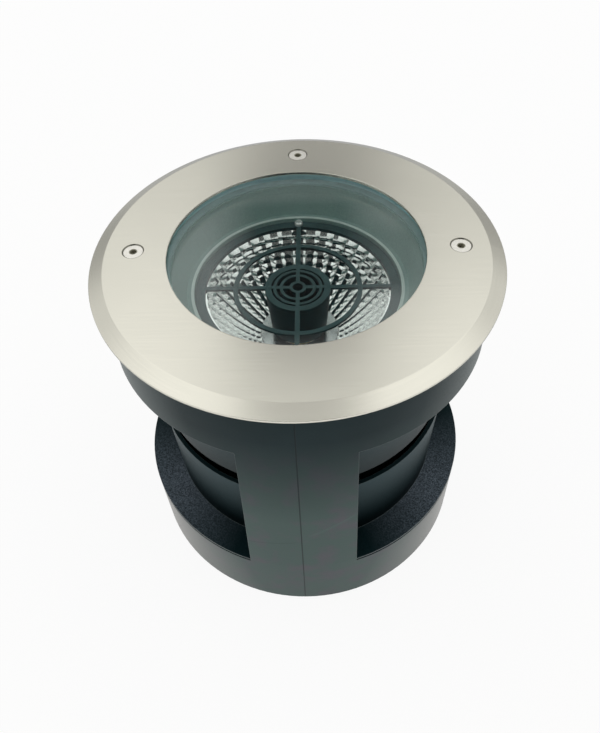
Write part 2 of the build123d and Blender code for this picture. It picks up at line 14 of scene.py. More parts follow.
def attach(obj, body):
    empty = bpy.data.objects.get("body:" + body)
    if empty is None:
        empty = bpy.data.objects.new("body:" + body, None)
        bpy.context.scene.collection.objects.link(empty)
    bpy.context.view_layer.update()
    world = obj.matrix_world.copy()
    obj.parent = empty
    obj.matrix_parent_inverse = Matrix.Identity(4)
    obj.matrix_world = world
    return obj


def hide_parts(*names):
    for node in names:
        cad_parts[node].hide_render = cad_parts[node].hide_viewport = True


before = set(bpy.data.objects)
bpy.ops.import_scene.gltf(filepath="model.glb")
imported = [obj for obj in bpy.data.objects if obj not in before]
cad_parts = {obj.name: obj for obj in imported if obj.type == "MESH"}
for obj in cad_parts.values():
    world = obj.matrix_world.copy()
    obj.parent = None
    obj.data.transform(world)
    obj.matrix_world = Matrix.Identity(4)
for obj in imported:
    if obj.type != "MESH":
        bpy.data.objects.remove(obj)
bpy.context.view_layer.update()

Colour = Tuple[float, float, float]
Point = Tuple[float, float, float]
Stretch = Tuple[float, float]
Socket = bpy.types.NodeSocket
Feed = Union[float, Sequence[float], Socket]

# Radius of the trim screws' circle, and the width over which a mark around a screw fades
SCREW_CIRCLE = 0.07925
SCREW_FADE = 0.0003

log = logging.getLogger("ground_light")


class Body(Enum):
    """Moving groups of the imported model."""

    SLEEVE = "sleeve"
    LAMP = "lamp"
    COVER = "cover"


class Gloss(Enum):
    """Roughness of a moulded surface."""

    SATIN = 0.42
    SMOOTH = 0.28


def dimmed(colour: Colour, share: float) -> List[float]:
    """Give a colour with a share of its light."""
    return [share * part for part in colour]


class NodeBoard:
    """Node tree with short calls for the nodes that the finishes and the sky share."""

    # Numbers of the mixing node's two colour inputs and of its colour output
    MIX_COLOURS = (6, 7)
    MIX_RESULT = 2

    def __init__(self, tree: bpy.types.NodeTree) -> None:
        """Keep the tree that the calls fill."""
        self.tree = tree

    def add(self, kind: str, *values: Feed, **settings: object) -> bpy.types.Node:
        """Add a node.

        Args:
            kind: Blender's name for the kind of node.
            values: What feeds its first sockets, in their order.
            settings: Values for the node's own properties.

        Returns:
            The new node.
        """
        node = self.tree.nodes.new(kind)
        for name, setting in settings.items():
            setattr(node, name, setting)
        for socket, value in zip(node.inputs, values):
            self.feed(socket, value)
        return node

    def feed(self, socket: Socket, value: Feed) -> None:
        """Link a socket to another, or set its own value.

        Args:
            socket: Input to feed.
            value: Output socket, number, vector or colour.
        """
        if isinstance(value, Socket):
            self.tree.links.new(value, socket)
        elif socket.type == "RGBA":
            socket.default_value = (*value[:3], 1.0)
        else:
            socket.default_value = value

    def math(self, kind: str, first: Feed, second: Feed = 0.0) -> Socket:
        """Work out a number, by Blender's name for the operation."""
        return self.add("ShaderNodeMath", first, second, operation=kind).outputs[0]

    def plus(self, first: Feed, second: Feed) -> Socket:
        """Add two numbers."""
        return self.math("ADD", first, second)

    def minus(self, first: Feed, second: Feed) -> Socket:
        """Take the second number from the first."""
        return self.math("SUBTRACT", first, second)

    def times(self, first: Feed, second: Feed) -> Socket:
        """Multiply two numbers."""
        return self.math("MULTIPLY", first, second)

    def rest(self, mark: Feed) -> Socket:
        """Mark everything that a mark leaves out."""
        return self.minus(1.0, mark)

    def span(
        self, value: Feed, start: float, end: float, low: Feed = 0.0, high: Feed = 1.0
    ) -> Socket:
        """Map a range of numbers onto another, held at its ends.

        Args:
            value: Number to map.
            start: Start of its range.
            end: End of its range.
            low: Result at the start.
            high: Result at the end.

        Returns:
            The result's socket.
        """
        return self.add("ShaderNodeMapRange", value, start, end, low, high, clamp=True).outputs[0]

    def band(self, value: Feed, middle: float, half: float, soft: float) -> Socket:
        """Mark where a number lies near a value.

        Args:
            value: Number to test.
            middle: Middle of the band.
            half: Half of its width.
            soft: Width over which its edges fade.

        Returns:
            Socket of 1 inside the band and 0 outside.
        """
        away = self.math("ABSOLUTE", self.minus(value, middle))
        return self.span(away, half, half + soft, 1.0, 0.0)

    def vector(self, x: Feed, y: Feed, z: Feed) -> Socket:
        """Join three numbers into a vector."""
        return self.add("ShaderNodeCombineXYZ", x, y, z).outputs[0]

    def parts(self, vector: Feed) -> Tuple[Socket, ...]:
        """Split a vector into three numbers."""
        return tuple(self.add("ShaderNodeSeparateXYZ", vector).outputs)

    def blend(self, share: Feed, first: Feed, second: Feed) -> Socket:
        """Mix two colours.

        Args:
            share: Share of the second colour.
            first: First colour.
            second: Second colour.

        Returns:
            The mixed colour's socket.
        """
        node = self.add("ShaderNodeMix", share, data_type="RGBA")
        for number, colour in zip(self.MIX_COLOURS, (first, second)):
            self.feed(node.inputs[number], colour)
        return node.outputs[self.MIX_RESULT]


class FinishBoard(NodeBoard):
    """Node tree of one finish that ends in a Principled shader."""

    # Rise of a face's normal, from other faces to those that look up and to those that lie level
    UPWARD: Stretch = (0.5, 0.9)
    LEVEL: Stretch = (0.97, 0.99)
    # Agreement of the eased normal with the face's own, from its middle to its edge
    EDGE_AGREEMENT: Stretch = (0.985, 0.90)
    EDGE_SAMPLES = 6
    EVEN_BLEND = 0.5

    def __init__(self, name: str) -> None:
        """Start a material.

        Args:
            name: Name of the material.
        """
        self.material = bpy.data.materials.new(name)
        self.material.use_nodes = True
        super().__init__(self.material.node_tree)
        self.shader = self.tree.nodes["Principled BSDF"]
        coordinates = self.add("ShaderNodeTexCoord")
        self.place = coordinates.outputs["Object"]
        self.facing = coordinates.outputs["Normal"]

    def set(self, **values: Feed) -> None:
        """Feed the shader's sockets, named with underscores for spaces."""
        for name, value in values.items():
            self.feed(self.shader.inputs[name.replace("_", " ")], value)

    def noise(self, size: float, detail: float, where: Optional[Feed] = None) -> Socket:
        """Make a soft random pattern.

        Args:
            size: Size of its spots, in the units of its coordinates.
            detail: Number of finer layers.
            where: Coordinates, or the object's own where none are given.

        Returns:
            Socket of values around one half.
        """
        node = self.add("ShaderNodeTexNoise")
        self.feed(node.inputs["Vector"], self.place if where is None else where)
        self.feed(node.inputs["Scale"], 1.0 / size)
        self.feed(node.inputs["Detail"], detail)
        return node.outputs["Fac"]

    def around(self) -> Tuple[Socket, Socket, Socket]:
        """Give places about the lamp's axis.

        Returns:
            Sockets of the distance from the axis, the angle from the front and the height.
        """
        x, y, z = self.parts(self.place)
        square = self.plus(self.times(x, x), self.times(y, y))
        front = self.times(y, -1.0)
        return self.math("SQRT", square), self.math("ARCTAN2", x, front), z

    def at_screws(self, radius: float) -> Socket:
        """Mark what lies near the axis of the left, right or back trim screw.

        Args:
            radius: Distance from the axis that is marked in full.

        Returns:
            Socket of 1 near a screw's axis and 0 elsewhere.
        """
        x, y, _ = self.parts(self.place)
        beside = self.vector(self.minus(self.math("ABSOLUTE", x), SCREW_CIRCLE), y, 0.0)
        behind = self.vector(x, self.minus(y, SCREW_CIRCLE), 0.0)
        away = self.math("MINIMUM", self.length(beside), self.length(behind))
        return self.span(away, radius + SCREW_FADE, radius)

    def length(self, vector: Feed) -> Socket:
        """Measure the length of a vector."""
        return self.add("ShaderNodeVectorMath", vector, operation="LENGTH").outputs["Value"]

    def rising(self, stretch: Stretch) -> Socket:
        """Mark the faces whose normals rise by a stretch or more."""
        return self.span(self.parts(self.facing)[2], *stretch)

    def varied(self, middle: float, swing: float, pattern: Feed) -> Socket:
        """Give a number that swings about its middle with a pattern from 0 to 1."""
        return self.plus(middle - swing / 2, self.times(pattern, swing))

    def bump(self, height: Feed, depth: float, normal: Optional[Feed] = None) -> Socket:
        """Raise a pattern on the surface.

        Args:
            height: Pattern from 0 to 1.
            depth: Its real depth in metres.
            normal: Normal to start from, if any.

        Returns:
            The raised normal's socket.
        """
        node = self.add("ShaderNodeBump")
        self.feed(node.inputs["Distance"], depth)
        self.feed(node.inputs["Height"], height)
        if normal is not None:
            self.feed(node.inputs["Normal"], normal)
        return node.outputs["Normal"]

    def eased_edges(self, radius: float) -> Socket:
        """Give a normal that rounds sharp edges by a radius in metres."""
        return self.add("ShaderNodeBevel", radius, samples=self.EDGE_SAMPLES).outputs["Normal"]

    def sharp_edges(self, eased: Socket) -> Socket:
        """Mark sharp edges.

        Args:
            eased: Normal that rounds the edges.

        Returns:
            Socket of 1 on the edges and 0 on the faces.
        """
        own = self.add("ShaderNodeNewGeometry").outputs["Normal"]
        node = self.add("ShaderNodeVectorMath", eased, own, operation="DOT_PRODUCT")
        return self.span(node.outputs["Value"], *self.EDGE_AGREEMENT)

    def slanted(self, stretch: Stretch) -> Socket:
        """Mark the faces that are seen at a slant, over a stretch of slants."""
        facing = self.add("ShaderNodeLayerWeight", self.EVEN_BLEND).outputs["Facing"]
        return self.span(facing, *stretch)


@dataclass(frozen=True)
class Mottle:
    """Random pattern: size of its spots, finer layers, and values that count as none and full."""

    size: float
    layers: float
    none: float = 0.3
    full: float = 0.7

    def raw(self, board: FinishBoard, where: Optional[Feed] = None) -> Socket:
        """Lay the pattern as values around one half."""
        return board.noise(self.size, self.layers, where)

    def spread(self, board: FinishBoard, raw: Feed) -> Socket:
        """Stretch the pattern's values from none to full."""
        return board.span(raw, self.none, self.full)

    def lay(self, board: FinishBoard) -> Socket:
        """Lay the pattern with its values stretched."""
        return self.spread(board, self.raw(board))


@dataclass(frozen=True)
class Finish:
    """Finish of a surface, which each kind lays in its own way."""

    name: str

    def make(self) -> bpy.types.Material:
        """Build the finish.

        Returns:
            Its material.
        """
        board = FinishBoard(self.name)
        self.lay(board)
        return board.material

    def lay(self, board: FinishBoard) -> Socket:
        """Fill a board and return the socket of the base colour."""
        raise NotImplementedError


@dataclass(frozen=True)
class MouldedPlastic(Finish):
    """Moulded plastic with a fine spark-eroded grain and a slight change of tone."""

    colour: Colour
    tone: Colour
    gloss: Gloss = Gloss.SATIN
    gloss_swing: float = 0.12
    cloud: Mottle = Mottle(0.045, 3.0)
    grain: Mottle = Mottle(0.0005, 2.0)
    depth: float = 0.00002
    edge: float = 0.0003
    shine: float = 0.4
    shine_tint: Colour = (1.0, 1.0, 1.0)
    # Lighter tone for the faces that look up, and its share
    upward_tone: Colour = (0.0, 0.0, 0.0)
    upward_share: float = 0.0

    def lay(self, board: FinishBoard) -> Socket:
        """Lay the plastic, lighter on the faces that look up.

        Args:
            board: Node tree to fill.

        Returns:
            Socket of the base colour.
        """
        colour = board.blend(self.cloud.lay(board), self.colour, self.tone)
        upward_mask = board.times(board.rising(board.UPWARD), self.upward_share)
        colour = board.blend(upward_mask, colour, self.upward_tone)
        normal = self.lay_grain(board, board.eased_edges(self.edge))
        board.set(Base_Color=colour, Normal=normal)
        return colour

    def lay_grain(self, board: FinishBoard, eased: Socket) -> Socket:
        """Lay the grain and set the gloss.

        Args:
            board: Node tree to fill.
            eased: Normal that rounds the edges.

        Returns:
            Socket of the grained normal.
        """
        grain = self.grain.raw(board)
        board.set(Roughness=board.varied(self.gloss.value, self.gloss_swing, grain))
        board.set(Specular_IOR_Level=self.shine, Specular_Tint=self.shine_tint)
        return board.bump(grain, self.depth, eased)


@dataclass(frozen=True)
class Scuff:
    """Faint scratch on the sleeve's wall; its ends are distances from the front, and heights."""

    start: Tuple[float, float]
    end: Tuple[float, float]
    width: float
    shade: float
    strength: float = 0.6
    # Shares of the length, from its middle: at full strength, and then fading
    full: float = 0.35
    fade: float = 0.15

    def mark(self, board: FinishBoard, along: Feed, height: Feed) -> Socket:
        """Mark the straight scratch, which fades at its ends.

        Args:
            board: Node tree to fill.
            along: Distance along the wall from the front.
            height: Height above the foot.

        Returns:
            Socket of the scratch's strength.
        """
        run = Vector(self.end) - Vector(self.start)
        length = run.length
        run.normalize()
        side = board.minus(along, self.start[0])
        rise = board.minus(height, self.start[1])
        forward = board.plus(board.times(side, run.x), board.times(rise, run.y))
        across = board.minus(board.times(rise, run.x), board.times(side, run.y))
        line = board.band(across, 0.0, self.width / 2, self.width)
        ends = board.band(forward, length / 2, length * self.full, length * self.fade)
        return board.times(board.times(line, ends), self.strength)


@dataclass(frozen=True)
class SleevePlastic(MouldedPlastic):
    """Black plastic of the sleeve: parting lines, scratches, dusty walls, gritty shelf; painted
    shade, sheen and highlights.
    """

    posts: int = 3
    cloud: Mottle = Mottle(0.05, 3.0)
    wall_radius: float = 0.0935
    wall_fade: float = 0.0005
    shelf_height: float = 0.0438
    # Heights over the shelf: end of its grain, top and foot of the painted sheen, the cup's painted
    # black root
    grit_reach: Stretch = (0.002, 0.004)
    foot_sheen_reach: Stretch = (0.02, -0.01)
    cup_root: float = 0.008
    cup_height: float = 0.0964
    # Lit tone of the cup near its rim; root_shade paints its root black as shade
    cup_lit_tone: Colour = (0.022, 0.045, 0.052)
    root_shade: float = 0.25
    # Painted shadow in the groove under each sill
    groove_shadow: Colour = (0.0, 0.0, 0.0)
    groove_depth: float = 0.0012
    groove_width: float = 0.0014
    groove_fade: float = 0.0002
    groove_radii: Stretch = (0.0957, 0.0953)
    line_width: float = 0.00022
    line_depth: float = 0.0001
    line_shade: float = 0.35
    line_share: float = 0.75
    # Dust tones of the wall, which with the heights below also paint shade: darker towards the top,
    # under the trim
    dust_and_light: Colour = (0.062, 0.096, 0.088)
    dust_and_light_patch: Colour = (0.084, 0.086, 0.098)
    dust_patches: Mottle = Mottle(0.013, 4.0, 0.46, 0.66)
    dust_shade_top: float = 0.165
    dust_shade_full: float = 0.092
    # Painted sheen: a lighter tone on wall faces seen at a slant
    slant_sheen: Colour = (0.10, 0.12, 0.118)
    sheen_slant: Stretch = (0.6, 0.9)
    # Painted sheen low on the wall, on faces seen at a slant
    bloom_and_sheen: Colour = (0.36, 0.355, 0.345)
    foot_sheen_slant: Stretch = (0.66, 0.92)
    # Painted highlight laid on sharp edges, and its share
    edge_highlight: Colour = (0.15, 0.18, 0.18)
    edge_highlight_share: float = 0.6
    grit: Colour = (0.15, 0.185, 0.225)
    grit_shades: Stretch = (0.2, 0.86)
    grit_grain: Mottle = Mottle(0.0007, 4.0, 0.38, 0.68)
    grit_depth: float = 0.0002
    # Turns from a post's middle: from the shelf's corners in painted shade to its open part
    corner_turns: Stretch = (math.radians(24), math.radians(54))
    scuffs: Tuple[Scuff, ...] = ()

    def lay(self, board: FinishBoard) -> Socket:
        """Lay the plastic with all its marks.

        Args:
            board: Node tree to fill.

        Returns:
            Socket of the base colour.
        """
        radius, angle, height = board.around()
        turn = board.math("PINGPONG", angle, math.pi / self.posts)
        up = board.rising(board.UPWARD)
        upright = board.rest(up)
        outer = board.span(radius, self.wall_radius - self.wall_fade, self.wall_radius)
        wall = board.times(outer, upright)
        cup = board.times(board.rest(wall), upright)
        shelf = board.times(up, board.span(height, *self.over_shelf(self.grit_reach), 1.0, 0.0))
        parting = board.band(board.times(turn, radius), 0.0, self.line_width, self.line_width)
        line = board.times(parting, wall)
        grit = self.grit_grain.raw(board)
        eased = board.eased_edges(self.edge)

        colour = board.blend(self.cloud.lay(board), self.colour, self.tone)
        colour = self.dust_shade_and_sheen(board, colour, wall, height)
        colour = self.shade_cup(board, colour, cup, height)
        line_colour = dimmed(self.colour, self.line_shade)
        colour = board.blend(board.times(line, self.line_share), colour, line_colour)
        along = board.times(angle, radius)
        for scuff in self.scuffs:
            scratched = board.times(scuff.mark(board, along, height), wall)
            colour = board.blend(scratched, colour, dimmed(self.dust_and_light, scuff.shade))
        colour = board.blend(shelf, colour, self.sparkle(board, grit, turn))
        # Painted highlight: sharp edges turn lighter
        highlighted_edges = board.times(board.sharp_edges(eased), self.edge_highlight_share)
        colour = board.blend(highlighted_edges, colour, self.edge_highlight)
        # Painted shadow in the groove under each sill
        groove_middle = self.shelf_height - self.groove_depth
        groove = board.band(height, groove_middle, self.groove_width / 2, self.groove_fade)
        groove = board.times(board.times(groove, board.span(radius, *self.groove_radii)), wall)
        colour = board.blend(groove, colour, self.groove_shadow)

        normal = self.lay_grain(board, eased)
        normal = board.bump(board.times(grit, shelf), self.grit_depth, normal)
        normal = board.bump(board.times(line, -1.0), self.line_depth, normal)
        board.set(Base_Color=colour, Normal=normal)
        return colour

    def over_shelf(self, reach: Stretch) -> Stretch:
        """Give heights above the foot for heights over the shelf."""
        return self.shelf_height + reach[0], self.shelf_height + reach[1]

    def sparkle(self, board: FinishBoard, grit: Feed, turn: Feed) -> Socket:
        """Give the shelf's gritty colour, with painted shade that turns it black in the corners
        beside the posts.

        Args:
            board: Node tree to fill.
            grit: Pattern of the coarse grain.
            turn: Turn from the middle of the nearest post.

        Returns:
            Socket of the colour.
        """
        dark, bright = (dimmed(self.grit, shade) for shade in self.grit_shades)
        sparkle = board.blend(self.grit_grain.spread(board, grit), dark, bright)
        # Painted shade: black in the shelf's corners beside the posts
        return board.blend(board.span(turn, *self.corner_turns), self.colour, sparkle)

    def dust_shade_and_sheen(self, board: FinishBoard, colour: Feed, wall: Feed, height: Feed) -> Socket:
        """Lay dust with painted shade on the outer wall, lighter towards its foot, and painted
        sheen at a slant.

        Args:
            board: Node tree to fill.
            colour: Colour of the clean plastic.
            wall: Mark of the outer wall.
            height: Height above the foot.

        Returns:
            Socket of the dusty colour.
        """
        # Dust and painted shade: the wall is darker towards its top, under the trim
        dust_shade_mask = board.times(board.span(height, self.dust_shade_top, self.dust_shade_full), wall)
        dust_and_light = board.blend(self.dust_patches.lay(board), self.dust_and_light, self.dust_and_light_patch)
        colour = board.blend(dust_shade_mask, colour, dust_and_light)
        # Painted sheen on wall faces seen at a slant
        slant_sheen_mask = board.times(board.slanted(self.sheen_slant), wall)
        colour = board.blend(slant_sheen_mask, colour, self.slant_sheen)
        # Painted sheen low on the wall, on faces seen at a slant
        low = board.span(height, *self.over_shelf(self.foot_sheen_reach))
        bloom_and_sheen = board.times(board.times(board.slanted(self.foot_sheen_slant), low), wall)
        return board.blend(bloom_and_sheen, colour, self.bloom_and_sheen)

    def shade_cup(self, board: FinishBoard, colour: Feed, cup: Feed, height: Feed) -> Socket:
        """Paint shade on the cup: lighter towards its rim and black at its root.

        Args:
            board: Node tree to fill.
            colour: Colour of the plastic.
            cup: Mark of the cup's upright faces.
            height: Height above the foot.

        Returns:
            Socket of the shaded colour.
        """
        # Painted shade: the cup darkens from its rim to a black root
        rise = board.span(height, self.shelf_height + self.cup_root, self.cup_height)
        tone = board.blend(rise, dimmed(self.colour, self.root_shade), self.cup_lit_tone)
        return board.blend(cup, colour, tone)


@dataclass(frozen=True)
class BrushedSteel(Finish):
    """Stainless steel with straight brush lines on its flat top and turning lines on its slopes."""

    colour: Colour
    dull: Colour
    roughness: float
    anisotropy: float
    roughness_swing: float = 0.08
    lines: Mottle = Mottle(0.00018, 4.0, 0.2, 0.8)
    line_length: float = 0.04
    line_depth: float = 0.000006
    streaks: Mottle = Mottle(0.0011, 2.0, 0.35, 0.65)
    streak_share: float = 0.6
    stains: Mottle = Mottle(0.03, 4.0, 0.35, 0.75)
    stain_share: float = 0.7
    edge: float = 0.0005
    edge_tint: Colour = (0.5, 0.51, 0.53)
    sink_radius: float = 0.00525
    sink_shade: Colour = (0.2, 0.195, 0.165)

    def lay(self, board: FinishBoard) -> Socket:
        """Lay the steel, with a shadow in the countersinks of the trim screws.

        Args:
            board: Node tree to fill.

        Returns:
            Socket of the base colour.
        """
        flat = board.rising(board.LEVEL)
        x, y, _ = board.parts(board.place)
        fine = self.brush(board, flat, self.lines)
        streaks = self.streaks.spread(board, self.brush(board, flat, self.streaks))
        colour = board.blend(self.lines.spread(board, fine), self.dull, self.colour)
        colour = board.blend(board.times(streaks, self.streak_share), colour, self.dull)
        stained = board.times(self.stains.lay(board), self.stain_share)
        colour = board.blend(stained, colour, self.dull)
        colour = board.blend(board.at_screws(self.sink_radius), colour, self.sink_shade)
        rough = board.varied(self.roughness, self.roughness_swing, fine)
        normal = board.bump(fine, self.line_depth, board.eased_edges(self.edge))
        tangent = board.blend(flat, board.vector(x, y, 0.0), board.vector(0.0, 1.0, 0.0))
        board.set(Base_Color=colour, Roughness=rough, Normal=normal, Tangent=tangent)
        board.set(Metallic=1.0, Anisotropic=self.anisotropy, Specular_Tint=self.edge_tint)
        return colour

    def brush(self, board: FinishBoard, flat: Feed, lines: Mottle) -> Socket:
        """Draw brush lines, straight on the flat top and turned on the slopes.

        Args:
            board: Node tree to fill.
            flat: Mark of the flat top.
            lines: Pattern of the lines, whose size is the distance between them.

        Returns:
            Socket of values around one half.
        """
        radius, angle, _ = board.around()
        x, y, _ = board.parts(board.place)
        grids = []
        for across, along in ((radius, board.times(angle, radius)), (y, x)):
            pitches = board.math("DIVIDE", across, lines.size)
            grids.append(board.vector(pitches, board.math("DIVIDE", along, self.line_length), 0.0))
        return board.noise(1.0, lines.layers, board.blend(flat, *grids))


@dataclass(frozen=True)
class PlainMetal(Finish):
    """Plated or machined metal with faint handling marks."""

    colour: Colour
    dull: Colour
    roughness: float
    roughness_swing: float = 0.1
    spots: Mottle = Mottle(0.0012, 4.0, 0.35, 0.7)
    depth: float = 0.00001
    edge: float = 0.0001
    metal: float = 1.0

    def lay(self, board: FinishBoard) -> Socket:
        """Lay the metal.

        Args:
            board: Node tree to fill.

        Returns:
            Socket of the base colour.
        """
        spots = self.spots.raw(board)
        colour = board.blend(self.spots.spread(board, spots), self.colour, self.dull)
        rough = board.varied(self.roughness, self.roughness_swing, spots)
        normal = board.bump(spots, self.depth, board.eased_edges(self.edge))
        board.set(Base_Color=colour, Roughness=rough, Normal=normal, Metallic=self.metal)
        return colour


@dataclass(frozen=True)
class SocketScrewSteel(PlainMetal):
    """Bright steel of the trim screws, with dull grit and painted shade in their sockets."""

    socket_radius: float = 0.0019
    # Dull grit colour of the sockets, which also paints their shade
    grit: Colour = (0.26, 0.25, 0.19)

    def lay(self, board: FinishBoard) -> Socket:
        """Lay the steel, and the grit with painted shade in the sockets.

        Args:
            board: Node tree to fill.

        Returns:
            Socket of the base colour.
        """
        colour = super().lay(board)
        # Grit and painted shade in the sockets
        inside = board.at_screws(self.socket_radius)
        colour = board.blend(inside, colour, self.grit)
        board.set(Base_Color=colour, Metallic=board.times(board.rest(inside), self.metal))
        return colour


@dataclass(frozen=True)
class TintedGlass(Finish):
    """Clear toughened glass with a green tint and a faint smear on its polished face."""

    tint: Colour
    index: float
    smear_roughness: float
    smears: Mottle = Mottle(0.02, 5.0, 0.5, 0.8)
    smear_shade: float = 0.97

    def lay(self, board: FinishBoard) -> Socket:
        """Lay the glass.

        Args:
            board: Node tree to fill.

        Returns:
            Socket of the base colour.
        """
        smear = self.smears.lay(board)
        colour = board.blend(smear, self.tint, dimmed(self.tint, self.smear_shade))
        board.set(Base_Color=colour, Roughness=board.times(smear, self.smear_roughness))
        board.set(Transmission_Weight=1.0, IOR=self.index)
        return colour


@dataclass(frozen=True)
class SoftRubber(Finish):
    """Moulded rubber with a dusty bloom."""

    colour: Colour
    bloom_and_sheen: Colour
    roughness: float = 0.6
    roughness_swing: float = 0.1
    spots: Mottle = Mottle(0.004, 5.0, 0.4, 0.75)
    pores: Mottle = Mottle(0.0003, 2.0)
    depth: float = 0.00002
    edge: float = 0.0003

    def lay(self, board: FinishBoard) -> Socket:
        """Lay the rubber.

        Args:
            board: Node tree to fill.

        Returns:
            Socket of the base colour.
        """
        colour = board.blend(self.spots.lay(board), self.colour, self.bloom_and_sheen)
        pores = self.pores.raw(board)
        rough = board.varied(self.roughness, self.roughness_swing, pores)
        normal = board.bump(pores, self.depth, board.eased_edges(self.edge))
        board.set(Base_Color=colour, Roughness=rough, Normal=normal)
        return colour


@dataclass(frozen=True)
class GroundEdge(SoftRubber):
    """Ground edge of the glass, as matt and finely pitted as rubber."""

    roughness: float = 0.7


@dataclass(frozen=True)
class LampCoat(Finish):
    """Powder coat of the cast lamp, greyer in the lens chamber, with a bare machined ledge."""

    colour: Colour
    speck: Colour
    chamber: Colour
    # Bare metal of the ledge, made bright as a painted highlight
    machined_highlight: Colour
    specks: Mottle = Mottle(0.012, 4.0, 0.35, 0.75)
    peel: Mottle = Mottle(0.0009, 3.0)
    depth: float = 0.00004
    roughness: float = 0.49
    roughness_swing: float = 0.14
    edge: float = 0.0004
    shine: float = 0.2
    shine_tint: Colour = (0.6, 0.94, 1.0)
    drum_foot: float = 0.105
    drum_clear: float = 0.135
    drum_shade: float = 0.2
    chamber_radius: float = 0.0632
    chamber_foot: float = 0.1262
    chamber_fade: float = 0.0002
    chamber_shade: float = 0.85
    ledge_height: float = 0.1629
    ledge_radii: Stretch = (0.0526, 0.0541)
    ledge_reach: float = 0.0002
    ledge_fade: float = 0.0001
    turning: Mottle = Mottle(1.0, 3.0)
    turning_lines: float = 3000.0
    turning_shade: float = 0.8

    def lay(self, board: FinishBoard) -> Socket:
        """Lay the coat, and the bare ledge with a painted highlight.

        Args:
            board: Node tree to fill.

        Returns:
            Socket of the base colour.
        """
        radius, angle, height = board.around()
        peel = self.peel.raw(board)
        colour = board.blend(self.specks.lay(board), self.colour, self.speck)
        shade = board.span(height, self.drum_foot, self.drum_clear, 1.0, 0.0)
        colour = board.blend(shade, colour, dimmed(self.colour, self.drum_shade))

        wall, foot, fade = self.chamber_radius, self.chamber_foot, self.chamber_fade
        inside = board.times(
            board.span(radius, wall, wall + fade, 1.0, 0.0),
            board.span(height, foot, foot + fade),
        )
        dark = dimmed(self.chamber, self.chamber_shade)
        tone = board.blend(self.peel.spread(board, peel), self.chamber, dark)
        colour = board.blend(inside, colour, tone)

        # Bare ledge with a painted highlight along its rounded lip
        inner, outer = self.ledge_radii
        ledge = board.times(
            board.band(radius, (inner + outer) / 2, (outer - inner) / 2, self.ledge_fade),
            board.band(height, self.ledge_height, self.ledge_reach, self.ledge_fade),
        )
        rings = board.vector(board.times(radius, self.turning_lines), angle, 0.0)
        lines = self.turning.spread(board, self.turning.raw(board, rings))
        bare = board.blend(lines, self.machined_highlight, dimmed(self.machined_highlight, self.turning_shade))
        colour = board.blend(ledge, colour, bare)

        rough = board.varied(self.roughness, self.roughness_swing, peel)
        normal = board.bump(peel, self.depth, board.eased_edges(self.edge))
        board.set(Base_Color=colour, Roughness=rough, Normal=normal)
        board.set(Specular_IOR_Level=self.shine, Specular_Tint=self.shine_tint)
        return colour


@dataclass(frozen=True)
class MirrorFinish(Finish):
    """Bright vapour-coated mirror with a fine hammered skin."""

    colour: Colour
    dull: Colour
    roughness: float
    roughness_swing: float
    dimples: Mottle
    depth: float

    def lay(self, board: FinishBoard) -> Socket:
        """Lay the mirror.

        Args:
            board: Node tree to fill.

        Returns:
            Socket of the base colour.
        """
        dimples = self.dimples.raw(board)
        colour = board.blend(self.dimples.spread(board, dimples), self.colour, self.dull)
        rough = board.varied(self.roughness, self.roughness_swing, dimples)
        normal = board.bump(dimples, self.depth)
        board.set(Base_Color=colour, Roughness=rough, Normal=normal, Metallic=1.0)
        return colour


@dataclass(frozen=True)
class FloorPaper(Finish):
    """White studio paper with a faint grain; it looks white but keeps a soft shadow."""

    colour: Colour
    glow: float
    fibre: Mottle = Mottle(0.003, 3.0)
    fibre_shade: float = 0.998
    depth: float = 0.00005
    roughness: float = 0.9
    shine: float = 0.2

    def lay(self, board: FinishBoard) -> Socket:
        """Lay the paper and its glow.

        Args:
            board: Node tree to fill.

        Returns:
            Socket of the base colour.
        """
        fibre = self.fibre.raw(board)
        dark = dimmed(self.colour, self.fibre_shade)
        colour = board.blend(self.fibre.spread(board, fibre), self.colour, dark)
        board.set(Base_Color=colour, Roughness=self.roughness, Specular_IOR_Level=self.shine)
        board.set(Normal=board.bump(fibre, self.depth))
        path = board.add("ShaderNodeLightPath").outputs
        seen = board.math("MAXIMUM", path["Is Camera Ray"], path["Is Glossy Ray"])
        seen = board.math("MAXIMUM", seen, path["Is Transmission Ray"])
        white = board.add("ShaderNodeEmission", colour).outputs[0]
        share = board.times(seen, self.glow)
        mix = board.add("ShaderNodeMixShader", share, board.shader.outputs[0], white)
        board.feed(board.tree.nodes["Material Output"].inputs["Surface"], mix.outputs[0])
        return colour


def dress(finish: Finish, *names: str) -> None:
    """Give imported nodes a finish.

    Args:
        finish: Finish for the nodes.
        names: Names of the nodes.
    """
    material = finish.make()
    for name in names:
        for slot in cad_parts[name].material_slots:
            slot.material = material
        log.info("%s dressed in %s", name, finish.name)


def place(form: bmesh.types.BMesh, name: str, *finishes: Finish) -> bpy.types.Object:
    """Turn a form into an object of the scene.

    Args:
        form: Mesh to use up.
        name: Name of the object.
        finishes: Finishes of its material slots, in their order.

    Returns:
        The object.
    """
    mesh = bpy.data.meshes.new(name)
    form.to_mesh(mesh)
    form.free()
    for finish in finishes:
        mesh.materials.append(finish.make())
    item = bpy.data.objects.new(name, mesh)
    bpy.context.scene.collection.objects.link(item)
    return item


def hoop(radius: float, height: float, count: int, shift: float = 0.0) -> List[Vector]:
    """Give a level ring of points about the lamp's axis.

    Args:
        radius: Its radius.
        height: Its height.
        count: Number of points.
        shift: Turn of the first point, as a share of the step between points.

    Returns:
        The points.
    """
    turns = (2 * math.pi * (i + shift) / count for i in range(count))
    return [Vector((radius * math.cos(turn), radius * math.sin(turn), height)) for turn in turns]


def bow(share: float) -> float:
    """Give the height of an arch at a share of its span: 1 in the middle and 0 at the ends."""
    return 4 * share * (1 - share)


